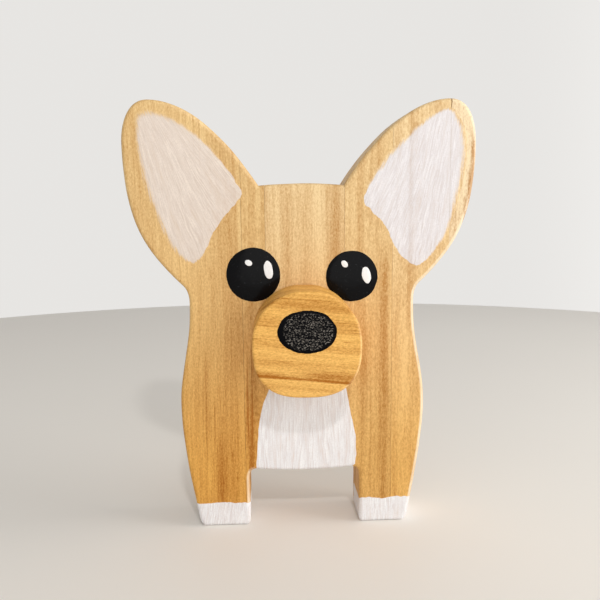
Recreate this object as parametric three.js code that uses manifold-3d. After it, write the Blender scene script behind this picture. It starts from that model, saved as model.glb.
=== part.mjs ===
// Eyeglasses display stand: a dog's head and body sawn from a board of edge-glued pine staves, with a
// snout block in front that carries the bridge of the glasses. Two countersunk wood screws, driven from
// the back of the board, hold the snout. Millimetres, +Z up, the front faces -Y, and the origin is on
// the ground under the middle of the stand.
import * as THREE from "three";
import { mergeVertices } from "three/addons/utils/BufferGeometryUtils.js";
import Module from "manifold-3d";

// Board
const BOARD_THICKNESS = 18;
const HEIGHT = 146.3; // to the ear tips
const EAR_REACH = 58.7; // half the width across the ears
const HEAD_TOP = 118.9;
const NECK = 38.1; // half the width at the neck
const BODY = 42; // half the width at the widest of the body
const LEG_INSIDE = { left: 18.9, right: 19.5 }; // from the middle to each leg
const BELLY = 19.6; // height of the belly's lowest point
const EDGE_RADIUS = 1.2; // sanded round all along the front and back edges
const GLUE_FILM = 0.1;
const GLUE_LINES = [-20.2, -12.2, 14.5, 30.7, 50]; // where the staves meet, along X

// Snout block
const SNOUT_LENGTH = 20;
const SNOUT_CENTRE = { x: 0.5, z: 68.2 };
const SNOUT_HALF = { width: 17.4, height: 17.1 };
const SNOUT_ROUNDNESS = { top: 2.1, bottom: 2.65 }; // superellipse exponents
const SNOUT_EDGE_RADIUS = 0.8;
const CROWN = 6.5; // width of the flat on top, where the bridge of the glasses rests

// Screws, 4 x 30, one above the other behind the snout
const SCREW_SPACING = 16;
const SCREW_LENGTH = 30;
const SCREW_SINK = 0.4; // the head lies this deep below the board's back
const HEAD_RADIUS = 4;
const HEAD_RIM = 0.3;
const SHANK_RADIUS = 1.95;
const THREAD_RADIUS = 2;
const CORE_RADIUS = 1.35;
const THREAD_PITCH = 1.8;
const THREAD_TURNS = 9;
const TIP_LENGTH = 3;
const RECESS = { length: 4.4, width: 0.9, depth: 1.7 }; // cross recess in the head
const HOLE_CLEARANCE = 0.35;
const ROUND_SEGMENTS = 24;

// Places along Y, front to back, with the whole stand centred on the origin
const BOARD_FRONT = (SNOUT_LENGTH - BOARD_THICKNESS) / 2;
const BOARD_BACK = BOARD_FRONT + BOARD_THICKNESS;
const SNOUT_FRONT = BOARD_FRONT - SNOUT_LENGTH;
const HEAD_FACE = BOARD_BACK - SCREW_SINK;
const SCREW_TIP = HEAD_FACE - SCREW_LENGTH;

const CURVE_STEPS = 12;
const FAR = 200; // longer than the stand, for cutting blocks

const wasm = await Module();
wasm.setup();

// A closed geometry as a solid that can be joined and cut.
function solid(geometry) {
  const bare = geometry.clone();
  bare.deleteAttribute("normal");
  bare.deleteAttribute("uv");
  const merged = mergeVertices(bare, 1e-4);
  const corners = merged.index.array;
  const kept = [];
  for (let i = 0; i < corners.length; i += 3) {
    const [a, b, c] = corners.slice(i, i + 3);
    if (a !== b && b !== c && c !== a) kept.push(a, b, c);
  }
  return new wasm.Manifold(
    new wasm.Mesh({
      numProp: 3,
      vertProperties: merged.attributes.position.array,
      triVerts: new Uint32Array(kept),
    }),
  );
}

// A solid as a named mesh.
function part(name, shape, material) {
  const { vertProperties, triVerts } = shape.getMesh();
  const geometry = new THREE.BufferGeometry();
  geometry.setAttribute("position", new THREE.BufferAttribute(vertProperties, 3));
  geometry.setIndex(new THREE.BufferAttribute(triVerts, 1));
  geometry.computeVertexNormals();
  const mesh = new THREE.Mesh(geometry, material);
  mesh.name = name;
  return mesh;
}

// An outline drawn in X and Z, given a thickness from yFront to yBack with rounded rims.
function slab(points, yFront, yBack, radius) {
  const geometry = new THREE.ExtrudeGeometry(new THREE.Shape(points), {
    depth: yBack - yFront - 2 * radius,
    bevelThickness: radius,
    bevelSize: radius,
    bevelOffset: -radius,
    bevelSegments: 3,
  });
  geometry.rotateX(Math.PI / 2);
  geometry.translate(0, yBack - radius, 0);
  return solid(geometry);
}

// Half of the board's outline, from the head top round the ear, flank and leg to the belly.
function halfOutline(legInside) {
  const path = new THREE.Path();
  path.moveTo(0, HEAD_TOP);
  path.quadraticCurveTo(7, HEAD_TOP, 14.2, HEAD_TOP - 0.6);
  path.bezierCurveTo(21.5, 129.5, 35, HEIGHT, 50, HEIGHT);
  path.bezierCurveTo(56.4, HEIGHT, EAR_REACH, 138.8, EAR_REACH, 132.2);
  path.bezierCurveTo(EAR_REACH, 108.2, 53.2, 97.7, 40, 85);
  path.quadraticCurveTo(NECK, 83, NECK, 79);
  path.bezierCurveTo(NECK, 63.9, BODY, 55.4, BODY, 43.7);
  path.bezierCurveTo(BODY, 30.5, 39.2, 17.4, 36.9, 3.9);
  path.quadraticCurveTo(36.3, 0, 34.3, 0);
  path.lineTo(legInside + 1.8, 0);
  path.quadraticCurveTo(legInside, 0, legInside, 1.8);
  path.lineTo(legInside, 17.2);
  path.quadraticCurveTo(legInside, 20.4, legInside - 2.6, 20.4);
  path.quadraticCurveTo(8.5, BELLY, 0, BELLY);
  return path.getPoints(CURVE_STEPS);
}

function boardOutline() {
  const right = halfOutline(LEG_INSIDE.right);
  const left = halfOutline(LEG_INSIDE.left).slice(1, -1).reverse();
  return [...right, ...left.map((p) => new THREE.Vector2(-p.x, p.y))];
}

// A rounded square, rounder above than below, with a flat crown.
function snoutOutline() {
  const steps = 72;
  const points = [];
  for (let i = 0; i < steps; i++) {
    const angle = (2 * Math.PI * i) / steps;
    const across = Math.cos(angle);
    const up = Math.sin(angle);
    const power = 2 / (up > 0 ? SNOUT_ROUNDNESS.top : SNOUT_ROUNDNESS.bottom);
    const x = SNOUT_HALF.width * Math.sign(across) * Math.abs(across) ** power;
    const z = SNOUT_HALF.height * Math.sign(up) * Math.abs(up) ** power;
    if (up > 0 && Math.abs(x) < CROWN / 2) continue;
    points.push(new THREE.Vector2(SNOUT_CENTRE.x + x, SNOUT_CENTRE.z + z));
  }
  return points;
}

// A solid turned about Y from [radius, y] pairs, the lowest y first.
function turned(profile, z) {
  const points = profile.map(([radius, y]) => new THREE.Vector2(radius, y));
  const geometry = new THREE.LatheGeometry(points, ROUND_SEGMENTS);
  geometry.translate(SNOUT_CENTRE.x, 0, z);
  return solid(geometry);
}

// The screw's blank with a ridge for each turn of the thread.
function screwProfile() {
  const threadStart = SCREW_TIP + TIP_LENGTH;
  const profile = [[0, SCREW_TIP], [CORE_RADIUS, threadStart]];
  for (let turn = 0; turn < THREAD_TURNS; turn++) {
    const y = threadStart + turn * THREAD_PITCH;
    profile.push([CORE_RADIUS, y + 0.5], [THREAD_RADIUS, y + 0.9], [CORE_RADIUS, y + 1.3]);
  }
  const threadEnd = threadStart + THREAD_TURNS * THREAD_PITCH;
  const rim = HEAD_FACE - HEAD_RIM;
  profile.push([CORE_RADIUS, threadEnd], [SHANK_RADIUS, threadEnd + 0.5]);
  profile.push([SHANK_RADIUS, rim - (HEAD_RADIUS - SHANK_RADIUS)]);
  profile.push([HEAD_RADIUS, rim], [HEAD_RADIUS, HEAD_FACE], [0, HEAD_FACE]);
  return profile;
}

function recessBar(alongX, z) {
  const { length, width, depth } = RECESS;
  const bar = new THREE.BoxGeometry(alongX ? length : width, 2 * depth, alongX ? width : length);
  bar.translate(SNOUT_CENTRE.x, HEAD_FACE, z);
  return solid(bar);
}

function screw(z) {
  return turned(screwProfile(), z).subtract(recessBar(true, z)).subtract(recessBar(false, z));
}

// The hole that one screw runs through: countersunk in the board and a pilot hole in the snout.
function screwHole(z) {
  const bore = THREAD_RADIUS + HOLE_CLEARANCE;
  const mouth = HEAD_RADIUS + HOLE_CLEARANCE;
  const seat = HEAD_FACE - HEAD_RIM - HOLE_CLEARANCE / 2;
  return turned(
    [
      [0, SCREW_TIP - 1.5],
      [bore, SCREW_TIP],
      [bore, seat - (mouth - bore)],
      [mouth, seat],
      [mouth, BOARD_BACK + 1],
      [0, BOARD_BACK + 1],
    ],
    z,
  );
}

// The stave of a board between two places along X.
function stave(board, left, right) {
  const block = new THREE.BoxGeometry(right - left, FAR, FAR * 2);
  block.translate((left + right) / 2, 0, 0);
  return board.intersect(solid(block));
}

function wood(color) {
  return new THREE.MeshStandardMaterial({ color, roughness: 0.5, metalness: 0 });
}

const STAVES = [
  { name: "stave_left_ear", color: 0xdba660 },
  { name: "stave_left_narrow", color: 0xd89f5a },
  { name: "stave_centre", color: 0xdcab68 },
  { name: "stave_right_leg", color: 0xd9a55e },
  { name: "stave_right_ear", color: 0xe3b673 },
  { name: "stave_right_tip", color: 0xe6bd7d },
];
const snoutWood = wood(0xe0aa62);
const steel = new THREE.MeshStandardMaterial({ color: 0xc9b27a, roughness: 0.35, metalness: 1 });

const screwHeights = [SNOUT_CENTRE.z + SCREW_SPACING / 2, SNOUT_CENTRE.z - SCREW_SPACING / 2];
const [upperHole, lowerHole] = screwHeights.map(screwHole);
const board = slab(boardOutline(), BOARD_FRONT, BOARD_BACK, EDGE_RADIUS);
const drilledBoard = board.subtract(upperHole).subtract(lowerHole);
const snout = slab(snoutOutline(), SNOUT_FRONT, BOARD_FRONT - GLUE_FILM, SNOUT_EDGE_RADIUS);

const stand = new THREE.Group();
const edges = [-FAR, ...GLUE_LINES, FAR];
STAVES.forEach(({ name, color }, i) => {
  const left = edges[i] + GLUE_FILM / 2;
  const right = edges[i + 1] - GLUE_FILM / 2;
  stand.add(part(name, stave(drilledBoard, left, right), wood(color)));
});
stand.add(part("snout_block", snout.subtract(upperHole).subtract(lowerHole), snoutWood));
stand.add(part("snout_screw_upper", screw(screwHeights[0]), steel));
stand.add(part("snout_screw_lower", screw(screwHeights[1]), steel));

export default stand;
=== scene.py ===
import math

import bmesh
import bpy
from mathutils import Matrix, Vector, geometry, noise


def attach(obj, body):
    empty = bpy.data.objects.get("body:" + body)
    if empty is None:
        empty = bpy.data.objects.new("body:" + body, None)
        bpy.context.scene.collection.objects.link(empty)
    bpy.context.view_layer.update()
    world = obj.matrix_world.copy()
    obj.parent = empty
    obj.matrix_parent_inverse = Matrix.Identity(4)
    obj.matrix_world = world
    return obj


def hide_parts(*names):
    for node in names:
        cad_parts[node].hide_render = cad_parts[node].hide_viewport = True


# An eyeglasses display stand: a dog's head and body sawn from a board of six glued pine staves, with a
# snout block screwed on in front, and painted ears, eyes, nose, chest and paws. Sizes are in millimetres
# and each piece is scaled to metres when it is finished. +Z is up, and the stand faces -Y.
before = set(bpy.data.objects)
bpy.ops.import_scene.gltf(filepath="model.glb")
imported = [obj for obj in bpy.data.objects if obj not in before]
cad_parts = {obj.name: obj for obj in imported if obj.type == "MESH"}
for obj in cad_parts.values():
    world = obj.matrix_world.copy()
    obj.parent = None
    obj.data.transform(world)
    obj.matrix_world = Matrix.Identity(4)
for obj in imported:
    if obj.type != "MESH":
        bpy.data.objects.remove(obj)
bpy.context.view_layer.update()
MM = 0.001

# ---------------------------------------------------------------- sizes
BOARD_FRONT, BOARD_BACK = 1.0, 19.0
EDGE_RADIUS = 1.25
HEIGHT, EAR_REACH, HEAD_TOP = 146.3, 58.7, 118.9
NECK, BODY, BELLY = 38.1, 42.0, 19.6
LEG_INSIDE_LEFT, LEG_INSIDE_RIGHT = 18.9, 19.5
SAW_WANDER = 0.11  # how far the sawn outline strays from its curve
GLUE_FILM = 0.065  # between staves: open at the front, closed at the back
CRACK = {"x": 50.0, "from": 142.8, "width": 0.3}  # the joint that has opened at the right ear's top

SNOUT_X, SNOUT_Z = 0.5, 68.2
SNOUT_WIDE, SNOUT_TALL = 17.4, 17.1
SNOUT_FRONT, SNOUT_BACK = -19.0, 0.9
SNOUT_EDGE_RADIUS = 0.8
SNOUT_EDGE_HIGHLIGHT = 0.25  # how strong the painted highlight on its right-facing edges is beside the board's
CROWN = 6.5  # width of the flat on top, where the bridge of the glasses rests

SCREW_SPACING = 16.0
COUNTERSINK = [(4.45, 19.0), (4.35, 18.85), (4.35, 18.12), (2.35, 16.1), (2.35, 12.0)]  # (radius, y)

PAINT_SINK = 0.25  # each film of paint reaches this far into the wood
PAINT_FILM, PAW_FILM, NOSE_FILM, EYE_FILM, SPARK_FILM = 0.07, 0.06, 0.14, 0.15, 0.08  # and stands this proud


# ---------------------------------------------------------------- curves
def bezier(p0, p1, p2, p3, steps):
    out = []
    for i in range(1, steps + 1):
        t = i / steps
        s = 1 - t
        k = (s**3, 3 * s * s * t, 3 * s * t * t, t**3)
        out.append(tuple(k[0] * p0[j] + k[1] * p1[j] + k[2] * p2[j] + k[3] * p3[j] for j in (0, 1)))
    return out


def bend(p0, p1, p2, steps):
    """A quadratic curve."""
    c1 = tuple(p0[j] + (p1[j] - p0[j]) * 2 / 3 for j in (0, 1))
    c2 = tuple(p2[j] + (p1[j] - p2[j]) * 2 / 3 for j in (0, 1))
    return bezier(p0, c1, c2, p2, steps)


def straight(p0, p1, steps):
    return [tuple(p0[j] + (p1[j] - p0[j]) * i / steps for j in (0, 1)) for i in range(1, steps + 1)]


def smoothstep(t):
    t = min(1.0, max(0.0, t))
    return t * t * (3 - 2 * t)


def spline(points, per_span=10):
    """A closed Catmull-Rom curve through (x, z, softness) points."""
    out = []
    n = len(points)
    for i in range(n):
        p = [Vector(points[(i + k) % n]) for k in (-1, 0, 1, 2)]
        for s in range(per_span):
            t = s / per_span
            v = 0.5 * (
                2 * p[1] + (p[2] - p[0]) * t + (2 * p[0] - 5 * p[1] + 4 * p[2] - p[3]) * t**2
                + (3 * p[1] - p[0] - 3 * p[2] + p[3]) * t**3
            )
            out.append(v)
    return out


def nearest_on(loop, x, z):
    """(distance to the closed loop, softness there)."""
    best, soft = 1e9, 0.0
    q = Vector((x, z))
    for a, b in zip(loop, loop[1:] + loop[:1]):
        start, span = a.to_2d(), b.to_2d() - a.to_2d()
        length = span.length_squared
        t = 0.0 if length == 0 else min(1.0, max(0.0, (q - start).dot(span) / length))
        d = (q - start - span * t).length
        if d < best:
            best, soft = d, a[2] + (b[2] - a[2]) * t
    return best, soft


def inside(loop, x, z):
    hit = False
    for a, b in zip(loop, loop[1:] + loop[:1]):
        if (a.y > z) != (b.y > z) and x < (b.x - a.x) * (z - a.y) / (b.y - a.y) + a.x:
            hit = not hit
    return hit


def outward(loop):
    """Outward miter vectors of a clockwise loop: points moved along theirs by 1 move every edge by 1."""
    out = []
    n = len(loop)
    for i, p in enumerate(loop):
        a, b = Vector(loop[i - 1]), Vector(loop[(i + 1) % n])
        p = Vector(p)
        d1, d2 = (p - a).normalized(), (b - p).normalized()
        n1, n2 = Vector((-d1.y, d1.x)), Vector((-d2.y, d2.x))
        m = (n1 + n2).normalized()
        out.append(tuple(m / max(0.4, m.dot(n1))))
    return out


# ---------------------------------------------------------------- outlines
def half_outline(inside_leg):
    """The right half of the board's outline, from the middle of the head top down to the belly's middle."""
    p = [(0.0, HEAD_TOP)]
    p += bend(p[-1], (7, HEAD_TOP), (14.2, HEAD_TOP - 0.6), 12)
    p += bezier(p[-1], (21.5, 129.5), (35, HEIGHT), (50, HEIGHT), 44)
    p += bezier(p[-1], (56.4, HEIGHT), (EAR_REACH, 138.8), (EAR_REACH, 132.2), 20)
    p += bezier(p[-1], (EAR_REACH, 108.2), (53.2, 97.7), (40, 85), 48)
    p += bend(p[-1], (NECK, 83), (NECK, 79), 8)
    p += bezier(p[-1], (NECK, 63.9), (BODY, 55.4), (BODY, 43.7), 30)
    p += bezier(p[-1], (BODY, 30.5), (39.2, 17.4), (36.9, 3.9), 34)
    p += bend(p[-1], (36.3, 0), (34.3, 0), 8)
    p += straight(p[-1], (inside_leg + 1.8, 0), 10)
    p += bend(p[-1], (inside_leg, 0), (inside_leg, 1.8), 6)
    p += straight(p[-1], (inside_leg, 17.2), 12)
    p += bend(p[-1], (inside_leg, 20.4), (inside_leg - 2.6, 20.4), 10)
    p += bend(p[-1], (8.5, BELLY), (0, BELLY), 16)
    return p


def board_outline():
    """The whole outline, clockwise, straying a little everywhere but at the feet."""
    right = half_outline(LEG_INSIDE_RIGHT)
    left = half_outline(LEG_INSIDE_LEFT)[1:-1][::-1]
    loop = right + [(-x, z) for x, z in left]
    out = []
    for (x, z), (nx, nz) in zip(loop, outward(loop)):
        w = SAW_WANDER * noise.noise(Vector((x, 3.0, z)) * 0.11) * min(1.0, max(0.0, (z - 2) / 6))
        out.append((x + nx * w, z + nz * w))
    return out


def snout_outline():
    """A rounded square, clockwise, rounder above than below, with a flat crown."""
    count = 144
    out = []
    for i in range(count):
        a = 2 * math.pi * i / count
        c, s = math.cos(a), math.sin(a)
        power = 2 / (2.1 if s > 0 else 2.65)
        x = SNOUT_WIDE * math.copysign(abs(c) ** power, c)
        z = SNOUT_TALL * math.copysign(abs(s) ** power, s)
        if s > 0 and abs(x) < CROWN / 2:
            continue
        out.append((SNOUT_X + x, SNOUT_Z + z))
    return out[::-1]


# ---------------------------------------------------------------- meshes
def finish_piece(bm, name, material, sharp=35.0, stands_for=()):
    """Makes the mesh a piece of the stand, in metres, smooth but for edges over sharp degrees."""
    bmesh.ops.remove_doubles(bm, verts=bm.verts, dist=1e-4)
    bmesh.ops.recalc_face_normals(bm, faces=bm.faces)
    limit = math.radians(sharp)
    for f in bm.faces:
        f.smooth = True
    for e in bm.edges:
        if len(e.link_faces) == 2 and e.calc_face_angle(0) > limit:
            e.smooth = False
    mesh = bpy.data.meshes.new(name)
    bm.to_mesh(mesh)
    bm.free()
    mesh.transform(Matrix.Scale(MM, 4))
    piece = bpy.data.objects.new(name, mesh)
    bpy.context.collection.objects.link(piece)
    mesh.materials.append(material)
    soften = piece.modifiers.new("face normals", "WEIGHTED_NORMAL")
    soften.keep_sharp = True
    soften.weight = 80
    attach(piece, "root")
    if stands_for:
        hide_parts(*stands_for)
    return piece


def round_ring(bm, radius, count, at):
    """A ring of vertices; at(across, up) gives the place of each."""
    turns = [2 * math.pi * i / count for i in range(count)]
    return [bm.verts.new(at(radius * math.cos(a), radius * math.sin(a))) for a in turns]


def loft(bm, rings):
    """Faces between each ring and the next."""
    for a, b in zip(rings, rings[1:]):
        for i in range(len(a)):
            j = (i + 1) % len(a)
            bm.faces.new((a[i], a[j], b[j], b[i]))


def sunk_hole(bm, x, z, profile):
    """The wall and bottom of a round hole from (radius, y) pairs; returns its mouth."""
    rings = [round_ring(bm, r, 40, lambda across, up: (x + across, y, z + up)) for r, y in profile]
    loft(bm, rings)
    bm.faces.new(rings[-1])
    return rings[0]


def pierced_cap(bm, ring, mouths):
    """The flat face inside ring with an opening for each mouth."""
    verts, edges = [], []
    for loop in (ring, *mouths):
        start, n = len(verts), len(loop)
        verts += loop
        edges += [(start + i, start + (i + 1) % n) for i in range(n)]
    flat_points = [Vector((v.co.x, v.co.z)) for v in verts]
    points, _, faces, origin, *_ = geometry.delaunay_2d_cdt(flat_points, edges, [], 0, 1e-6)
    border = flat_points[: len(ring)]
    openings = [[Vector((v.co.x, v.co.z)) for v in mouth] for mouth in mouths]
    for f in faces:
        x, z = sum((points[i] for i in f), Vector((0, 0))) / len(f)
        if inside(border, x, z) and not any(inside(o, x, z) for o in openings):
            bm.faces.new([verts[origin[i][0]] for i in f])


def rim_profile(front, back, radius, side_rings, steps=6):
    """(inset, y) pairs round the edge of a plate, from its front face to its back face."""
    turns = [math.pi / 2 * k / steps for k in range(steps + 1)]
    length = back - front - 2 * radius
    out = [(radius * (1 - math.sin(a)), front + radius * (1 - math.cos(a))) for a in turns]
    out += [(0.0, front + radius + length * k / side_rings) for k in range(1, side_rings)]
    out += [(radius * (1 - math.sin(a)), back - radius * (1 - math.cos(a))) for a in reversed(turns)]
    return out


def rounded_slab(loop, front, back, radius, side_rings=4, highlight_strength=1.0, holes=()):
    """A plate of that clockwise outline with rounded front and back rims, with a painted highlight where they
    face right.
    """
    normals = outward(loop)
    bm = bmesh.new()
    rim_layer = bm.verts.layers.float.new("rim")
    rings = []
    for inset, y in rim_profile(front, back, radius, side_rings):
        ring = [bm.verts.new((x - nx * inset, y, z - nz * inset)) for (x, z), (nx, nz) in zip(loop, normals)]
        on_bend = 1e-6 < inset < radius - 1e-6
        bent = math.sin(math.pi * inset / radius) ** 0.5 if on_bend else 0.0
        # rim holds a painted highlight: strongest on rounded edges that face right, weak where they face up
        for v, (nx, nz) in zip(ring, normals):
            v[rim_layer] = highlight_strength * bent * smoothstep(nx * 1.4) * (1 - 0.85 * smoothstep(nz * 1.8))
        rings.append(ring)
    loft(bm, rings)
    caps = [bm.faces.new(rings[0][::-1])]
    if holes:
        pierced_cap(bm, rings[-1], [sunk_hole(bm, x, z, shape) for x, z, shape in holes])
    else:
        caps.append(bm.faces.new(rings[-1]))
    bmesh.ops.recalc_face_normals(bm, faces=bm.faces)
    bmesh.ops.triangulate(bm, faces=caps, ngon_method="EAR_CLIP")
    return bm


def cut(bm, x, side):
    """Cuts along a glue joint, keeps what isn't on that side of it, and closes the cut."""
    lean = -GLUE_FILM / (2 * (BOARD_BACK - BOARD_FRONT))
    bmesh.ops.bisect_plane(
        bm, geom=bm.verts[:] + bm.edges[:] + bm.faces[:], dist=1e-5,
        plane_co=(x, BOARD_BACK, 0), plane_no=(side, lean, 0), clear_outer=True,
    )
    rim = [e for e in bm.edges if e.is_boundary]
    if rim:
        bmesh.ops.edgeloop_fill(bm, edges=rim)


def open_crack(bm):
    """Widens the joint beside this stave towards the ear's top."""
    bmesh.ops.bisect_plane(
        bm, geom=bm.verts[:] + bm.edges[:] + bm.faces[:], dist=1e-5,
        plane_co=(0, 0, CRACK["from"]), plane_no=(0, 0, 1),
    )
    for v in bm.verts:
        rise = (v.co.z - CRACK["from"]) / (HEIGHT - CRACK["from"])
        if abs(v.co.x - CRACK["x"]) < 0.05 and v.co.y < BOARD_BACK - 3 and rise > 0:
            v.co.x += CRACK["width"] * rise**0.6


# ---------------------------------------------------------------- films of paint
def film_mesh():
    """A mesh whose vertices hold their distance to the paint's edge and how soft that edge is."""
    bm = bmesh.new()
    return bm, [bm.verts.layers.float.new(name) for name in ("edge", "soft")]


def film_vertex(bm, layers, place, edge, soft):
    v = bm.verts.new(place)
    v[layers[0]], v[layers[1]] = edge, soft
    return v


def brushed_border(points, ragged, seed):
    """The closed curve through the points, pushed in and out a little as a brush leaves it."""
    curve = spline(points)
    out = []
    for i, v in enumerate(curve):
        a, b = curve[i - 1], curve[(i + 1) % len(curve)]
        side = Vector((b[1] - a[1], a[0] - b[0])).normalized()
        w = noise.noise(Vector((v[0] * 0.55, seed, v[1] * 0.55)))
        w += 0.6 * noise.noise(Vector((v[0] * 1.7, seed + 7, v[1] * 1.7)))
        out.append(Vector((v[0] + side.x * w * ragged, v[1] + side.y * w * ragged, v[2])))
    return out


def filling(border, spacing):
    """Staggered points that fill the inside of the border."""
    outline = [v.to_2d() for v in border]
    left, right = min(v.x for v in outline), max(v.x for v in outline)
    low, high = min(v.y for v in outline), max(v.y for v in outline)
    out = []
    for r in range(int((high - low) / spacing) + 1):
        for c in range(int((right - left) / spacing) + 1):
            x = left + (c + 0.5 * (r % 2)) * spacing
            z = low + r * spacing
            if inside(outline, x, z) and nearest_on(border, x, z)[0] > spacing * 0.45:
                out.append(Vector((x, z)))
    return out


def flat(x, z):
    """A film that follows the face under it."""
    return 0.0


def paint_patch(
    name, points, face, thickness, material, ragged=0.25, spacing=1.1, swell=flat, seed=0.0,
    sink=PAINT_SINK,
):
    """A thin closed film of paint on a face that looks to -Y; swell(x, z) lifts its surface."""
    border = brushed_border(points, ragged, seed)
    outline = [v.to_2d() for v in border]
    n = len(outline)
    border_edges = [(i, (i + 1) % n) for i in range(n)]
    flat_points = outline + filling(border, spacing)
    places, _, faces, *_ = geometry.delaunay_2d_cdt(flat_points, border_edges, [list(range(n))], 1, 1e-5)
    bm, layers = film_mesh()
    top, bottom = [], []
    for x, z in places:
        d, soft = nearest_on(border, x, z)
        lift = thickness * (0.15 + 0.85 * smoothstep(d / max(0.35, soft)))
        top.append(film_vertex(bm, layers, (x, face - swell(x, z) - lift, z), d, soft))
        bottom.append(film_vertex(bm, layers, (x, face + sink, z), d, soft))
    sides = set()
    for f in faces:
        sides.update(zip(f, [*f[1:], f[0]]))
        bm.faces.new([top[i] for i in f])
        bm.faces.new([bottom[i] for i in reversed(f)])
    for i, j in sorted(sides):
        if (j, i) not in sides:
            bm.faces.new((top[j], top[i], bottom[i], bottom[j]))
    return finish_piece(bm, name, material, sharp=60)


def grid_film(name, place, columns, rows, thickness, material, slot):
    """A closed film over a grid; place(u, v) gives (point, outward direction, distance to edge, softness)."""
    bm, layers = film_mesh()
    top, bottom = [], []
    for r in range(rows + 1):
        for sheet in (top, bottom):
            sheet.append([])
        for c in range(columns + 1):
            p, n, d, soft = place(c / columns, r / rows)
            lift = thickness * (0.2 + 0.8 * smoothstep(d / 0.4))
            top[r].append(film_vertex(bm, layers, p + n * lift, d, soft))
            bottom[r].append(film_vertex(bm, layers, p - n * PAINT_SINK, d, soft))
    for r in range(rows):
        for c in range(columns):
            bm.faces.new((top[r][c], top[r][c + 1], top[r + 1][c + 1], top[r + 1][c]))
            bm.faces.new((bottom[r][c], bottom[r + 1][c], bottom[r + 1][c + 1], bottom[r][c + 1]))
    rim = [(0, c) for c in range(columns)] + [(r, columns) for r in range(rows)]
    rim += [(rows, c) for c in range(columns, 0, -1)] + [(r, 0) for r in range(rows, 0, -1)]
    for (r0, c0), (r1, c1) in zip(rim, rim[1:] + rim[:1]):
        bm.faces.new((top[r1][c1], top[r0][c0], bottom[r0][c0], bottom[r1][c1]))
    return finish_piece(bm, name, material, sharp=60)


# ---------------------------------------------------------------- materials
def rgb(r, g, b):
    """sRGB 0-255 as linear."""
    linear = [((c / 255 + 0.055) / 1.055) ** 2.4 if c > 10 else c / 255 / 12.92 for c in (r, g, b)]
    return (*linear, 1.0)


def dimmed(color, r, g, b):
    return (color[0] * r, color[1] * g, color[2] * b, 1.0)


class Graph:
    """A material's node tree, where lengths are in millimetres."""

    def __init__(self, name):
        self.material = bpy.data.materials.new(name)
        self.material.use_nodes = True
        self.tree = self.material.node_tree
        self.tree.nodes.clear()

    def put(self, socket, value):
        if isinstance(value, bpy.types.NodeSocket):
            self.tree.links.new(value, socket)
        else:
            socket.default_value = value

    def node(self, kind, inputs=(), out=0, **settings):
        n = self.tree.nodes.new(kind)
        for key, value in settings.items():
            setattr(n, key, value)
        for key, value in dict(inputs).items():
            self.put(n.inputs[key], value)
        return n.outputs[out] if len(n.outputs) else None

    def math(self, operation, a, b=0.0, c=0.0, clamp=False):
        return self.node("ShaderNodeMath", {0: a, 1: b, 2: c}, operation=operation, use_clamp=clamp)

    def add(self, first, *rest):
        for value in rest:
            first = self.math("ADD", first, value)
        return first

    def mul(self, a, b):
        return self.math("MULTIPLY", a, b)

    def length(self, a, b):
        return self.math("SQRT", self.add(self.mul(a, a), self.mul(b, b)))

    def ramp(self, value, low, high, to_low=0.0, to_high=1.0):
        places = {"Value": value, "From Min": low, "From Max": high, "To Min": to_low, "To Max": to_high}
        return self.node("ShaderNodeMapRange", places, interpolation_type="SMOOTHSTEP")

    def mix(self, factor, a, b):
        n = self.tree.nodes.new("ShaderNodeMix")
        n.data_type = "RGBA"
        for i, value in ((0, factor), (6, a), (7, b)):
            self.put(n.inputs[i], value)
        return n.outputs[2]

    def noise(self, x, y, z, scale, detail=3.0, rough=0.55, seed=0.0):
        """Fractal noise; scale is (per mm of x, of y, of z)."""
        scaled = {i: self.mul(v, k) for i, (v, k) in enumerate(zip((x, y, z), scale))}
        v = self.node("ShaderNodeCombineXYZ", scaled)
        v = self.node("ShaderNodeVectorMath", {0: v, 1: (seed, seed * 1.7, seed * 0.6)}, operation="ADD")
        inputs = {"Vector": v, "Scale": 1.0, "Detail": detail, "Roughness": rough}
        return self.node("ShaderNodeTexNoise", inputs)

    def attribute(self, name):
        return self.node("ShaderNodeAttribute", attribute_name=name, out=2)

    def position(self):
        p = self.node("ShaderNodeTexCoord", out=3)
        p = self.node("ShaderNodeVectorMath", {0: p, 3: 1 / MM}, operation="SCALE")
        n = self.tree.nodes.new("ShaderNodeSeparateXYZ")
        self.put(n.inputs[0], p)
        return n.outputs[0], n.outputs[1], n.outputs[2]

    def finish(self, color, roughness, height, bump=0.3, distance=0.0001, **direct):
        normal = self.node("ShaderNodeBump", {"Height": height, "Strength": bump, "Distance": distance})
        inputs = {"Base Color": color, "Roughness": roughness, "Normal": normal, **direct}
        shader = self.node("ShaderNodeBsdfPrincipled", inputs)
        self.node("ShaderNodeOutputMaterial", {"Surface": shader})
        return self.material


BAND_LEAN = 0.35  # how far a streak moves sideways for each millimetre into the wood
BAND_FADE = 6.0  # over how far its ends fade, to each side


def streaks(g, place, along, spec):
    """How much each streak darkens the wood."""
    out = []
    for centre, half_width, strength, low, high in spec["bands"]:
        off = g.math("ABSOLUTE", g.add(place, -centre - BAND_LEAN * spec["face"]))
        reach = g.mul(
            g.ramp(along, low - BAND_FADE, low + BAND_FADE),
            g.ramp(along, high - BAND_FADE, high + BAND_FADE, 1.0, 0.0),
        )
        out.append(g.mul(g.mul(g.ramp(off, 0.0, half_width, 1.0, 0.0), reach), strength))
    return out


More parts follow.
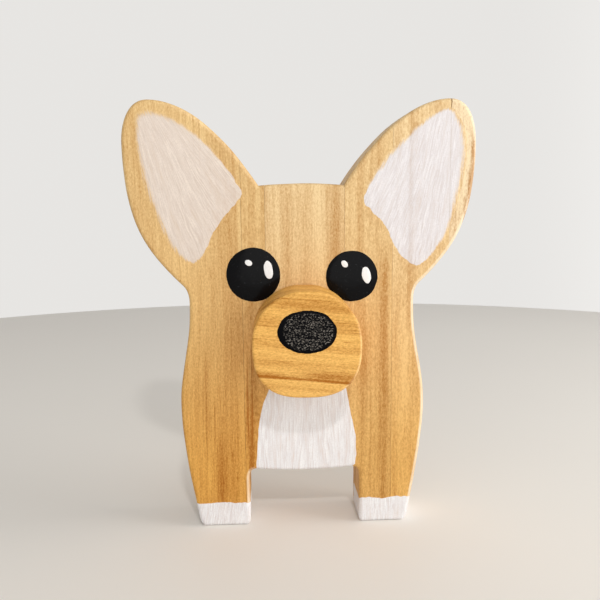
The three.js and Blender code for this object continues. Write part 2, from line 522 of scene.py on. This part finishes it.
def wood_pattern(g, across, depth, along, spec):
    """(colour, darkness 0-1, height) of planed wood whose grain runs along."""

    def layer(x, wide, long, detail, rough, seed):
        return g.noise(x, depth, along, (wide, wide, long), detail, rough, spec["seed"] + seed)

    leaning = g.mul(along, spec["tilt"])
    drift = g.add(layer(across, 0.03, 0.012, 2, 0.5, 0), -0.5)
    a = g.add(across, leaning, g.mul(drift, spec["drift"]))
    radius = g.length(g.add(a, -spec["pith"][0]), g.add(depth, -spec["pith"][1]))
    phase = g.add(g.mul(radius, 2 * math.pi / spec["ring"]), g.mul(layer(a, 0.1, 0.01, 2, 0.5, 3), 5.0))
    rings = g.math("POWER", g.ramp(g.math("SINE", phase), -1, 1), 2.0)
    fibre = layer(a, 1.1, 0.035, 6, 0.62, 5)
    fine = layer(a, 4.5, 0.30, 4, 0.6, 8)
    speck = layer(across, 2.1, 1.1, 4, 0.65, 11)
    blotch = layer(across, 0.07, 0.025, 3, 0.5, 17)
    pore = g.ramp(layer(a, 3.4, 0.17, 3, 0.5, 14), 0.60, 0.74)
    pore = g.mul(pore, g.ramp(layer(a, 0.25, 0.03, 2, 0.5, 20), 0.42, 0.66))

    dark = spec["bias"]
    for value, neutral, strength in (
        (fibre, 0.5, 0.9), (rings, 0.4, 0.16), (fine, 0.5, 0.75),
        (speck, 0.5, 1.45), (blotch, 0.5, 0.6), (pore, 0.0, 0.45),
    ):
        dark = g.add(g.mul(g.add(value, -neutral), strength), dark)
    wander = g.add(g.mul(drift, 1.5), g.mul(g.add(fibre, -0.5), 1.2))
    place = g.add(across, g.mul(depth, BAND_LEAN), leaning, wander)
    dark = g.add(dark, *streaks(g, place, along, spec))
    dark = g.math("ADD", dark, 0.0, clamp=True)

    # painted sheen: both tones shift towards their paler, greyer upper values with height
    rise = g.ramp(along if spec["upright"] else across, *spec["height"])
    light = g.mix(rise, spec["light_low"], spec["light_high"])
    deep = g.mix(rise, spec["dark_low"], spec["dark_high"])
    relief = g.add(g.mul(fibre, 0.5), g.mul(fine, 0.35), g.mul(pore, -0.8))
    return g.mix(dark, light, deep), dark, relief


# Wood: "pith" is the tree's centre in the block's section, "ring" the spacing of its rings, "bias" how dark
# the wood is, "tilt" how the grain leans, and "light" and "dark" its two tones at the lower and the upper
# "height", where the paler, greyer upper tones are a painted sheen standing for light on the board's top.
# Each of the "bands" is a streak: (centre, half width, strength, from, to), seen on the "face".
PINE = {
    "light_low": rgb(234, 177, 88), "light_high": rgb(238, 206, 148),
    "dark_low": rgb(164, 98, 22), "dark_high": rgb(184, 132, 68),
    "height": (10.0, 125.0), "ring": 5.2, "tilt": 0.0, "drift": 5.0, "face": BOARD_FRONT, "upright": True,
}
# the colour of the painted highlight along right-facing rounded edges, standing for light from the right
PAINTED_EDGE_HIGHLIGHT = rgb(237, 219, 190)
JOINT_SHADE = rgb(150, 118, 78)  # how a glue joint shows through paint

# Each stave's left and right glue joints along X, and its wood
STAVES = {
    "stave_left_ear": (None, -20.2, {
        **PINE, "seed": 11.3, "pith": (-48.0, 64.0), "bias": 0.40,
        "bands": [
            (-33.2, 0.5, 0.35, 28, 60), (-30.4, 0.45, 0.35, 30, 46), (-28.6, 2.2, 0.28, 6, 30),
            (-35.0, 0.5, 0.3, 128, 150), (-33.2, 0.5, 0.3, 126, 150), (-22.0, 1.2, 0.2, 90, 130),
        ],
    }),
    "stave_left_narrow": (-20.2, -12.2, {
        **PINE, "seed": 23.9, "pith": (-70.0, 20.0), "bias": 0.42,
        "bands": [
            (-18.9, 0.4, 0.5, 30, 60), (-17.5, 0.4, 0.5, 30, 62), (-18.0, 1.6, 0.35, 14, 48),
            (-13.2, 1.2, 0.25, 60, 125),
        ],
    }),
    "stave_centre": (-12.2, 14.5, {
        **PINE, "seed": 37.1, "pith": (60.0, 52.0), "bias": 0.30, "light_high": rgb(240, 212, 162),
        "bands": [(11.6, 3.8, 0.42, 60, 125), (0.4, 0.4, 0.4, 102, 110), (-7.0, 0.5, 0.15, 88, 118)],
    }),
    "stave_right_leg": (14.5, 30.7, {
        **PINE, "seed": 41.7, "pith": (-40.0, 30.0), "bias": 0.38,
        "light_low": rgb(232, 184, 108), "light_high": rgb(240, 210, 156), "dark_low": rgb(172, 116, 48),
        "bands": [
            (28.3, 2.2, 0.44, 0, 95), (20.0, 1.8, 0.15, 20, 60), (23.5, 0.6, 0.2, 5, 50),
            (22.0, 12.0, 0.12, 50, 92),
        ],
    }),
    "stave_right_ear": (30.7, 50.0, {
        **PINE, "seed": 59.2, "pith": (90.0, 44.0), "bias": 0.28,
        "light_low": rgb(234, 184, 104), "light_high": rgb(242, 214, 164), "dark_low": rgb(170, 108, 40),
        "bands": [(36.6, 1.5, 0.34, 70, 150), (40.0, 2.0, 0.2, 40, 80)],
    }),
    "stave_right_tip": (50.0, None, {
        **PINE, "seed": 67.4, "pith": (80.0, 50.0), "bias": 0.17,
        "light_high": rgb(243, 221, 182), "dark_high": rgb(176, 122, 60),
        "bands": [(58.0, 1.4, 1.0, 116, 134), (57.0, 1.4, 1.0, 108, 122), (55.6, 1.3, 0.9, 98, 112)],
    }),
}
SNOUT_WOOD = {
    **PINE, "seed": 83.0, "pith": (150.0, 40.0), "bias": 0.34, "ring": 6.0, "tilt": 0.1, "drift": 4.0,
    "face": SNOUT_FRONT, "upright": False, "height": (50.0, 88.0),
    "light_low": rgb(249, 197, 110), "light_high": rgb(248, 194, 104),
    "dark_low": rgb(168, 100, 18), "dark_high": rgb(172, 106, 24),
    "bands": [
        (58.3, 2.6, 0.6, 0, 40), (56.9, 0.8, 0.55, -40, 40), (57.6, 1.4, 0.45, -40, -5),
        (80.6, 2.0, 0.35, -40, 40), (82.6, 0.5, 0.35, -40, 10), (69.0, 0.4, 0.4, -40, -8),
        (73.4, 0.4, 0.35, -40, -8), (74.2, 0.4, 0.3, 8, 40), (76.4, 0.4, 0.25, 8, 40),
    ],
}


def wood_material(name, spec):
    g = Graph(name)
    x, y, z = g.position()
    across, along = (x, z) if spec["upright"] else (z, x)
    color, dark, relief = wood_pattern(g, across, y, along, spec)
    patchy = g.noise(x, y, z, (0.5, 0.5, 0.12), 3, 0.6, spec["seed"] + 30)
    # painted highlight: right-facing rounded edges turn pale in patches, and less so over dark wood
    painted_highlight = g.mul(g.attribute("rim"), g.ramp(patchy, 0.25, 0.6, 0.5, 0.9))
    painted_highlight = g.mul(painted_highlight, g.ramp(dark, 0.55, 0.95, 0.95, 0.35))
    color = g.mix(painted_highlight, color, PAINTED_EDGE_HIGHLIGHT)
    roughness = g.add(g.mul(dark, 0.14), 0.46)
    return g.finish(color, roughness, relief, bump=0.35, distance=0.00012, **{"Specular IOR Level": 0.22})


def white_paint(name, spec, color, pivot, seed, lines=()):
    """White brushed over that wood, its strokes fanning from a point: pivot is (x, z, mean distance)."""
    g = Graph(name)
    x, y, z = g.position()
    wood, dark, relief = wood_pattern(g, x, y, z, spec)
    dx, dz = g.add(x, -pivot[0]), g.add(z, -pivot[1])
    run = g.length(dx, dz)
    side = g.mul(g.math("ARCTAN2", dx, g.mul(dz, -1.0)), pivot[2])
    side = g.add(side, g.mul(g.noise(side, run, y, (0.12, 0.05, 0.0), 2, 0.5, seed + 2), 3.0))
    hair = g.noise(side, run, y, (3.0, 0.16, 0.0), 5, 0.65, seed)
    sweep = g.noise(side, run, y, (0.55, 0.05, 0.0), 3, 0.5, seed + 4)
    fleck = g.noise(x, z, y, (1.9, 1.9, 0.0), 4, 0.65, seed + 6)

    soft = g.attribute("soft")
    reach = g.add(g.attribute("edge"), g.mul(g.add(hair, -0.60), g.mul(soft, 2.6)))
    cover = g.ramp(g.math("DIVIDE", reach, g.add(soft, 0.05)), -0.1, 0.85)
    thin = g.add(
        g.ramp(hair, 0.45, 0.75, 0.0, 0.16), g.ramp(sweep, 0.45, 0.7, 0.0, 0.08),
        g.mul(g.ramp(dark, 0.3, 0.9), 0.10),
    )
    cover = g.mul(cover, g.math("SUBTRACT", 0.99, thin, clamp=True))

    shade = g.mix(g.ramp(hair, 0.36, 0.68), color, dimmed(color, 0.76, 0.75, 0.78))
    shade = g.mix(g.ramp(sweep, 0.38, 0.66, 0.0, 0.6), shade, dimmed(color, 0.84, 0.84, 0.87))
    shade = g.mix(g.ramp(fleck, 0.40, 0.72, 0.0, 0.6), shade, dimmed(color, 0.78, 0.77, 0.76))
    out = g.mix(cover, wood, shade)
    for place, width, strength in lines:
        off = g.math("ABSOLUTE", g.add(x, -place))
        out = g.mix(g.mul(g.ramp(off, 0.0, width, 1.0, 0.0), strength), out, JOINT_SHADE)
    relief = g.add(g.mul(hair, 0.6), g.mul(sweep, 0.4), g.mul(relief, 0.25))
    return g.finish(out, g.add(g.mul(hair, 0.2), 0.5), relief, bump=0.45, distance=0.00012)


def black_gloss(name):
    g = Graph(name)
    x, y, z = g.position()
    # grey specks scattered over the black enamel, a little rougher than the gloss
    grey_specks = g.ramp(g.noise(x, y, z, (2.6, 0.5, 2.6), 4, 0.7, 5.0), 0.66, 0.74)
    color = g.mix(grey_specks, rgb(7, 7, 9), rgb(120, 124, 130))
    wave = g.noise(x, y, z, (0.35, 0.3, 0.35), 3, 0.5, 9.0)
    relief = g.add(wave, g.mul(grey_specks, 0.5))
    roughness = g.add(g.mul(grey_specks, 0.5), 0.16)
    return g.finish(color, roughness, relief, bump=0.35, distance=0.00015, **{"Specular IOR Level": 0.1})


def black_rough(name):
    """Black stippled on, with grey specks as painted glints of light on its rough surface everywhere but
    along the edge and at the left.
    """
    g = Graph(name)
    x, y, z = g.position()
    grit = g.noise(x, y, z, (1.5, 1.0, 2.1), 4, 0.75, 3.0)
    streak = g.noise(x, y, z, (0.22, 0.3, 1.7), 4, 0.6, 8.0)
    left = g.ramp(x, -9.5, -4.0, -1.4, 0.0)
    middle = g.ramp(g.add(g.attribute("edge"), g.mul(g.add(streak, -0.5), 1.6), left), 0.6, 1.5)
    # painted glints: grey specks standing for light caught by the rough paint
    painted_glints = g.mul(g.ramp(g.add(g.mul(grit, 0.8), g.mul(streak, 0.2)), 0.52, 0.60), middle)
    color = g.mix(painted_glints, rgb(4, 4, 7), rgb(140, 134, 126))
    roughness = g.add(g.mul(middle, 0.2), 0.32)
    relief = g.mul(g.add(grit, streak), g.add(middle, 0.25))
    return g.finish(color, roughness, relief, bump=0.6, distance=0.0002, **{"Specular IOR Level": 0.05})


def highlight_paint(name):
    g = Graph(name)
    uneven = g.noise(*g.position(), (1.4, 0.5, 0.9), 3, 0.5, 12.0)
    return g.finish(g.mix(uneven, rgb(250, 250, 248), rgb(225, 226, 226)), 0.35, uneven, bump=0.2)


def zinc(name):
    g = Graph(name)
    x, y, z = g.position()
    turn = g.noise(x, y, z, (1.6, 0.6, 1.6), 4, 0.6, 31.0)
    stain = g.noise(x, y, z, (0.35, 0.35, 0.35), 3, 0.6, 37.0)
    color = g.mix(stain, rgb(214, 196, 140), rgb(172, 142, 84))
    return g.finish(color, g.ramp(turn, 0.3, 0.7, 0.24, 0.42), turn, bump=0.2, distance=0.00005, Metallic=1.0)


# ---------------------------------------------------------------- the board, the snout and the screws
def stave(name, outline, left, right, wood):
    """One stave of the board, between its glue joints."""
    heights = [SNOUT_Z + side * SCREW_SPACING / 2 for side in (1, -1)] if name == "stave_centre" else []
    holes = [(SNOUT_X, z, COUNTERSINK) for z in heights]
    bm = rounded_slab(outline, BOARD_FRONT, BOARD_BACK, EDGE_RADIUS, holes=holes)
    if left is not None:
        cut(bm, left, -1)
    if right is not None:
        cut(bm, right, 1)
    if left == CRACK["x"]:
        open_crack(bm)
    finish_piece(bm, name + "_wood", wood_material("pine_" + name, wood), stands_for=[name])


board = board_outline()
for name, (left, right, wood) in STAVES.items():
    stave(name, board, left, right, wood)

snout = rounded_slab(
    snout_outline(), SNOUT_FRONT, SNOUT_BACK, SNOUT_EDGE_RADIUS, side_rings=6, highlight_strength=SNOUT_EDGE_HIGHLIGHT,
)
snout_wood = wood_material("snout_wood", SNOUT_WOOD)
finish_piece(snout, "snout_block_wood", snout_wood, stands_for=["snout_block"])

screw_metal = zinc("zinc_plated_steel")
for name in ("snout_screw_upper", "snout_screw_lower"):
    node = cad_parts[name]
    node.data.materials.clear()
    node.data.materials.append(screw_metal)

# ---------------------------------------------------------------- paint on the ears, chest and paws
PAINT_WARM = rgb(237, 223, 210)
PAINT_EAR = rgb(239, 235, 236)
PAINT_LIGHT = rgb(247, 247, 248)
wood_left, wood_centre, wood_right = (
    STAVES[name][2] for name in ("stave_left_ear", "stave_centre", "stave_right_ear")
)

# Outlines as (x, z, softness of the edge)
EAR_LEFT = [
    (-53.2, 141.7, 1.9), (-48.1, 142.8, 1.8), (-39.9, 139.4, 1.3), (-32.4, 133.7, 0.9), (-25.7, 126.1, 0.6),
    (-21.4, 119.4, 0.3), (-19.7, 115.7, 0.1), (-22.0, 112.2, 0.1), (-24.5, 109.6, 0.1), (-27.6, 105.4, 0.1),
    (-30.2, 101.4, 0.15), (-31.7, 97.2, 0.3), (-36.2, 92.6, 0.8), (-41.6, 95.6, 1.4), (-45.8, 102.2, 1.8),
    (-49.3, 110.6, 1.9), (-52.2, 119.6, 1.9), (-54.0, 129.7, 1.8), (-54.1, 136.5, 1.5),
]
EAR_RIGHT = [
    (49.6, 143.2, 0.9), (52.4, 140.6, 1.4), (54.6, 136.4, 1.8), (55.4, 130.1, 1.9), (55.0, 122.6, 1.9),
    (52.6, 111.9, 1.7), (50.4, 104.8, 1.0), (47.2, 98.5, 0.8), (43.0, 93.4, 0.4), (39.3, 91.0, 0.2),
    (35.0, 93.2, 0.1), (31.9, 97.1, 0.1), (30.0, 100.9, 0.1), (28.3, 104.3, 0.1), (25.6, 107.6, 0.1),
    (23.2, 109.8, 0.1), (20.9, 113.0, 0.1), (21.7, 116.4, 0.3), (23.3, 120.6, 1.0), (28.5, 127.7, 1.5),
    (33.2, 132.6, 1.5), (38.7, 137.6, 1.3), (43.9, 141.4, 1.0),
]
ear_left = white_paint("ear_paint_left", wood_left, PAINT_WARM, (-60, 165, 55), 2.0)
ear_right = white_paint(
    "ear_paint_right", wood_right, PAINT_EAR, (60, 200, 85), 6.0, lines=[(50.0, 0.35, 0.2), (36.8, 1.3, 0.1)],
)
for name, points, paint, ragged, seed in (
    ("ear_paint_left", EAR_LEFT, ear_left, 0.3, 1.0), ("ear_paint_right", EAR_RIGHT, ear_right, 0.35, 4.0),
):
    paint_patch(name, points, BOARD_FRONT, PAINT_FILM, paint, ragged=ragged, seed=seed)

# The chest's edges as (z, x), from the belly to behind the snout
CHEST_LEFT = [
    (20.0, -16.6), (27.5, -16.1), (33.9, -15.6), (38.4, -15.0), (43.4, -13.9), (48.6, -11.8), (56.0, -8.5),
]
CHEST_RIGHT = [
    (20.0, 18.2), (23.3, 18.5), (30.5, 18.4), (34.3, 17.6), (38.2, 16.8), (42.7, 16.0), (48.2, 15.1),
    (56.0, 13.0),
]
CHEST_LOW, CHEST_TOP = CHEST_LEFT[0][0], CHEST_LEFT[-1][0]
CHEST_TURN = 0.12  # the share of the film that goes round the belly's edge
CHEST_WRAP = math.radians(72)  # and how far round it goes
CHEST_GRID = (46, 50)
CRISP = 0.12  # softness of its edges


def along_table(table, z):
    for (z0, a), (z1, b) in zip(table, table[1:]):
        if z <= z1:
            return a + (b - a) * max(0.0, (z - z0) / (z1 - z0))
    return table[-1][1]


def belly(x):
    """The height of the belly's underside."""
    return BELLY + 0.8 * min(1.0, (abs(x) / 16.9)) ** 2


def chest_surface(u, v):
    """u from left to right, v from the belly's underside up to behind the snout."""
    rise = (v - CHEST_TURN) / (1 - CHEST_TURN)
    z = min(CHEST_TOP, max(CHEST_LOW, CHEST_LOW + rise * (CHEST_TOP - CHEST_LOW)))
    x0 = along_table(CHEST_LEFT, z) + 0.15 * noise.noise(Vector((0.0, 5.0, z * 0.4)))
    x1 = along_table(CHEST_RIGHT, z) + 0.15 * noise.noise(Vector((9.0, 5.0, z * 0.4)))
    x = x0 + (x1 - x0) * u
    d = min(x - x0, x1 - x)
    low = belly(x)
    if rise < 0:
        a = CHEST_WRAP * (1 - v / CHEST_TURN)
        point = (x, BOARD_FRONT + EDGE_RADIUS * (1 - math.cos(a)), low + EDGE_RADIUS * (1 - math.sin(a)))
        return Vector(point), Vector((0, -math.cos(a), -math.sin(a))), d, CRISP
    z = low + EDGE_RADIUS + (CHEST_TOP - low - EDGE_RADIUS) * rise
    return Vector((x, BOARD_FRONT, z)), Vector((0, -1, 0)), d, CRISP


chest = white_paint("chest_paint", wood_centre, PAINT_LIGHT, (2, 900, 860), 9.0)
grid_film("chest_paint", chest_surface, *CHEST_GRID, PAINT_FILM, chest, "white_paint")

PAW_HEIGHTS = [0.08, 0.2, 0.35, 0.55, 0.8, 1.05, 1.3, 1.7, 2.4, 3.2, 4.2, 5.2, 6.2, 7.2, 8.0]
PAW_SIDE, PAW_CORNER, PAW_FRONT = 9, 6, 26  # steps along a side, round a corner and across the front
PAW_BACK = 2.0  # the paint stops this far from the board's back


def across_at(z):
    """Where the outline crosses a height below the belly: the outer and inner edges of both legs."""
    hits = []
    for (x0, z0), (x1, z1) in zip(board, board[1:] + board[:1]):
        if (z0 > z) != (z1 > z):
            hits.append(x0 + (x1 - x0) * (z - z0) / (z1 - z0))
    return sorted(hits)


def paw_path(leg, z, seed):
    """(x, y) points at one height, up one side of the foot, across its front and down the other."""
    x0, x1 = across_at(z)[leg: leg + 2]
    inset = min(EDGE_RADIUS, max(0.02, z))
    turn = math.asin(1 - inset / EDGE_RADIUS)
    back = BOARD_BACK - PAW_BACK + 0.8 * noise.noise(Vector((seed, 2.0, z * 0.4)))
    bend_start = BOARD_FRONT + EDGE_RADIUS
    side = [(x0, back + (bend_start - back) * k / PAW_SIDE) for k in range(PAW_SIDE)]
    for k in range(PAW_CORNER):
        a = math.pi / 2 + (turn - math.pi / 2) * k / PAW_CORNER
        side.append((x0 + EDGE_RADIUS * (1 - math.sin(a)), BOARD_FRONT + EDGE_RADIUS * (1 - math.cos(a))))
    y = BOARD_FRONT + EDGE_RADIUS * (1 - math.cos(turn))
    width = x1 - x0 - 2 * inset
    front = [(x0 + inset + width * k / PAW_FRONT, y) for k in range(PAW_FRONT + 1)]
    return side + front + [(x1 + x0 - x, y) for x, y in reversed(side)]


def paw_film(name, leg, top, seed, wood):
    """Paint over the front, the sides and the rounded edges of one foot, up to a wavy line."""
    heights = [*PAW_HEIGHTS, top]
    rows, columns = len(heights) - 1, 2 * (PAW_SIDE + PAW_CORNER) + PAW_FRONT
    points = []
    for z in heights:
        row = []
        for x, y in paw_path(leg, z, seed):
            wave = 0.8 * noise.noise(Vector((x * 0.2, y * 0.2, seed)))
            wave += 0.3 * noise.noise(Vector((x * 0.8, y * 0.8, seed)))
            row.append(Vector((x, y, z + wave * (z / top) ** 3)))
        points.append(row)

    def place(u, v):
        c, r = round(u * columns), round(v * rows)
        side = points[r][min(columns, c + 1)] - points[r][max(0, c - 1)]
        up = points[min(rows, r + 1)][c] - points[max(0, r - 1)][c]
        d = max(0.02, min(top - heights[r], (columns - c) * 0.5, c * 0.5))
        return points[r][c], side.cross(up).normalized(), d, 0.1

    paint = white_paint(name, wood, PAINT_LIGHT, (40, 500, 495), seed)
    grid_film(name, place, columns, rows, PAW_FILM, paint, "white_paint")


paw_film("paw_paint_left", 0, 8.5, 3.0, wood_left)
paw_film("paw_paint_right", 2, 8.8, 5.0, wood_right)


# ---------------------------------------------------------------- eyes and nose
EYE_DOME = 0.42  # how thick the enamel is in the middle of an eye
SPARK_LIFT = 0.16
eye_enamel = black_gloss("eye_enamel")
spark_white = highlight_paint("eye_highlight_paint")

# Centres and half sizes, with each eye's two sparks as (name, x, z, half width, half height, tilt)
EYES = {
    "left": (-16.4, 88.6, 9.1, 9.1, [
        ("_spark_small", -17.9, 92.7, 1.25, 0.95, -25), ("_spark_large", -11.3, 90.2, 1.5, 3.1, 8),
    ]),
    "right": (16.9, 87.7, 8.8, 8.6, [
        ("_spark_small", 14.4, 91.9, 1.3, 0.95, -50), ("_spark_large", 21.8, 88.0, 1.5, 2.8, 12),
    ]),
}
NOSE = [
    (-8.9, 72.1), (-8.5, 74.2), (-7.0, 76.7), (-4.2, 78.4), (-1.0, 79.1), (2.4, 79.1), (5.2, 78.4),
    (7.2, 77.1), (8.9, 75.2), (9.8, 73.0), (9.5, 70.4), (8.1, 68.2), (5.5, 66.5), (2.4, 65.6), (-0.6, 65.5),
    (-3.5, 66.1), (-6.4, 67.7), (-8.2, 69.8),
]


def oval(x, z, half_width, half_height, tilt, count, wobble, seed):
    """Points round a slightly uneven oval; tilt is in degrees."""
    c, s = math.cos(math.radians(tilt)), math.sin(math.radians(tilt))
    out = []
    for i in range(count):
        a = -2 * math.pi * i / count
        k = 1 + wobble * noise.noise(Vector((math.cos(a) * 2, math.sin(a) * 2, seed)))
        px, pz = half_width * k * math.cos(a), half_height * k * math.sin(a)
        out.append((x + px * c - pz * s, z + px * s + pz * c, 0.05))
    return out


def eye(side, x, z, half_width, half_height, sparks):
    """A drop of black enamel with two white sparks painted on it."""

    def swell(px, pz):
        r = min(1.0, math.hypot((px - x) / half_width, (pz - z) / half_height))
        return EYE_DOME * (1 - r**2.6)

    paint_patch(
        "eye_" + side, oval(x, z, half_width, half_height, 0, 16, 0.02, x), BOARD_FRONT, EYE_FILM, eye_enamel,
        ragged=0.08, spacing=0.9, swell=swell, seed=x,
    )
    for name, sx, sz, rx, rz, tilt in sparks:
        paint_patch(
            "eye_" + side + name, oval(sx, sz, rx, rz, tilt, 12, 0.08, sx), BOARD_FRONT, SPARK_FILM,
            spark_white, ragged=0.05, spacing=0.5, seed=sx, sink=0.05,
            swell=lambda px, pz: swell(px, pz) + SPARK_LIFT,
        )


for side, sizes in EYES.items():
    eye(side, *sizes)

paint_patch(
    "nose_paint", [(x, z, 0.05) for x, z in NOSE], SNOUT_FRONT, NOSE_FILM, black_rough("nose_paint"),
    ragged=0.13, spacing=0.8, seed=8.0,
)

# ---------------------------------------------------------------- studio, in metres
FLOOR_RADIUS, FLOOR_EDGE = 0.56, 0.01
BACKDROP_LOW, BACKDROP_HIGH = 0.30, 0.80  # brightness behind the stand, towards the sides and in the middle
FRONT_FILL, RIGHT_FILL = 0.42, 0.5
SKY = (1.0, 0.982, 0.955, 1.0)
WHITE = (1.0, 1.0, 1.0)
LIT_HEIGHT = 0.07  # the lamps aim at this height
LAMPS = [  # (name, azimuth, elevation, distance, (width, height), watts)
    ("key", 5, 41, 0.9, (0.05, 0.05), 1.7),
    ("fill_front", 14, 8, 1.0, (0.8, 0.6), 1.45),
    ("window_right", 80, 16, 0.7, (0.4, 0.5), 2.9),
]
VIEWPOINT = {
    "place": (-0.01219, -0.239, 0.11273), "azimuth": -2.73, "elevation": 7.8, "roll": -0.55, "lens": 42.9,
}


def direction(azimuth, elevation):
    """From the stand outwards; azimuth 0 is the front and 90 the right side."""
    a, e = math.radians(azimuth), math.radians(elevation)
    return Vector((math.sin(a) * math.cos(e), -math.cos(a) * math.cos(e), math.sin(e)))


def floor_mesh():
    """A round table top with a rounded edge."""
    turns = [math.pi / 2 * k / 5 for k in range(1, 6)]
    profile = [(0.2, 0.0), (0.4, 0.0), (FLOOR_RADIUS, 0.0)]
    profile += [(FLOOR_RADIUS + FLOOR_EDGE * math.sin(a), -FLOOR_EDGE * (1 - math.cos(a))) for a in turns]
    profile.append((FLOOR_RADIUS + FLOOR_EDGE, -3 * FLOOR_EDGE))
    bm = bmesh.new()
    rings = [round_ring(bm, r, 128, lambda across, up: (across, up, z)) for r, z in profile]
    loft(bm, [ring[::-1] for ring in rings])
    bm.faces.new(rings[0])
    bm.faces.new(rings[-1][::-1])
    for f in bm.faces:
        f.smooth = len(f.verts) == 4
    mesh = bpy.data.meshes.new("studio_floor")
    bm.to_mesh(mesh)
    bm.free()
    return mesh


def floor():
    mesh = floor_mesh()
    table = bpy.data.objects.new("studio_floor", mesh)
    bpy.context.collection.objects.link(table)
    g = Graph("studio_floor")
    cloud = g.noise(*g.position(), (0.004, 0.004, 0.004), 2, 0.5, 2.0)
    color = g.mix(cloud, rgb(236, 231, 224), rgb(241, 237, 230))
    mesh.materials.append(g.finish(color, 0.6, cloud, bump=0.0))


def surround():
    """A pale backdrop behind the stand, a soft bright front and right, and a dimmer left and top."""
    world = bpy.data.worlds.new("studio")
    world.use_nodes = True
    tree = world.node_tree
    tree.nodes.clear()
    coord = tree.nodes.new("ShaderNodeTexCoord")
    split = tree.nodes.new("ShaderNodeSeparateXYZ")
    tree.links.new(coord.outputs["Generated"], split.inputs[0])
    sky = tree.nodes.new("ShaderNodeBackground")
    sky.inputs["Color"].default_value = SKY
    total = None
    for axis, *places in (
        ("Y", 0.45, 0.80, BACKDROP_LOW, BACKDROP_HIGH), ("Y", -0.2, -0.9, 0.0, FRONT_FILL),
        ("X", 0.3, 0.95, 0.0, RIGHT_FILL),
    ):
        rise = tree.nodes.new("ShaderNodeMapRange")
        rise.interpolation_type = "SMOOTHSTEP"
        for socket, value in zip(("From Min", "From Max", "To Min", "To Max"), places):
            rise.inputs[socket].default_value = value
        tree.links.new(split.outputs[axis], rise.inputs["Value"])
        both = tree.nodes.new("ShaderNodeMath")
        both.operation = "ADD"
        both.inputs[0].default_value = 0.0
        if total is not None:
            tree.links.new(total, both.inputs[0])
        tree.links.new(rise.outputs[0], both.inputs[1])
        total = both.outputs[0]
    tree.links.new(total, sky.inputs["Strength"])
    out = tree.nodes.new("ShaderNodeOutputWorld")
    tree.links.new(sky.outputs[0], out.inputs["Surface"])
    bpy.context.scene.world = world


def area_light(name, azimuth, elevation, distance, size, power):
    back = direction(azimuth, elevation)
    data = bpy.data.lights.new(name, "AREA")
    data.shape = "RECTANGLE"
    data.size, data.size_y = size
    data.energy = power
    data.color = WHITE
    lamp = bpy.data.objects.new(name, data)
    lamp.location = Vector((0, 0, LIT_HEIGHT)) + back * distance
    lamp.rotation_mode = "QUATERNION"
    lamp.rotation_quaternion = (-back).to_track_quat("-Z", "Y")
    bpy.context.collection.objects.link(lamp)


def camera(place, azimuth, elevation, roll, lens):
    """A camera that looks against that direction."""
    back = direction(azimuth, elevation)
    a, r = math.radians(azimuth), math.radians(roll)
    right = Vector((math.cos(a), math.sin(a), 0))
    up = back.cross(right)
    right, up = math.cos(r) * right + math.sin(r) * up, -math.sin(r) * right + math.cos(r) * up
    data = bpy.data.cameras.new("camera")
    data.lens = lens
    data.clip_start = 0.01
    data.clip_end = 20
    cam = bpy.data.objects.new("camera", data)
    turn = Matrix((right, up, back)).transposed().to_4x4()
    cam.matrix_world = Matrix.Translation(Vector(place)) @ turn
    bpy.context.collection.objects.link(cam)
    bpy.context.scene.camera = cam


floor()
for lamp in LAMPS:
    area_light(*lamp)
surround()
bpy.context.scene.view_settings.view_transform = "Standard"
camera(**VIEWPOINT)
